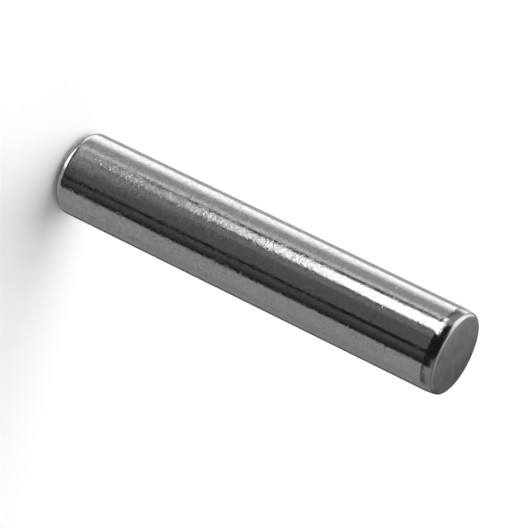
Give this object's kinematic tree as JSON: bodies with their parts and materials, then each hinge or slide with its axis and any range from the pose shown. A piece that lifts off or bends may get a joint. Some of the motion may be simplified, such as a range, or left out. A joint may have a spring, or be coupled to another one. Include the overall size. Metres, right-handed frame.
{
  "type": "dowel pin",
  "caption": "Ground steel dowel pin: a plain parallel cylinder with a bullet lead-in at one end and a rounded edge at the other, pressed into a reamed hole to locate parts.",
  "frame": {"origin": "centre of the flat foot at the rounded end, which the pin stands on", "axes": "+Z along the pin's axis, from the rounded end up to the lead-in end; X and Y are free, because the pin is round"},
  "size_m": [0.008, 0.008, 0.041],
  "materials": {
    "ground_steel": "ground and polished, with fine handling marks; end face satin"
  },
  "bodies": {
    "root": {"dowel_pin": "ground_steel"}
  },
  "joints": []
}
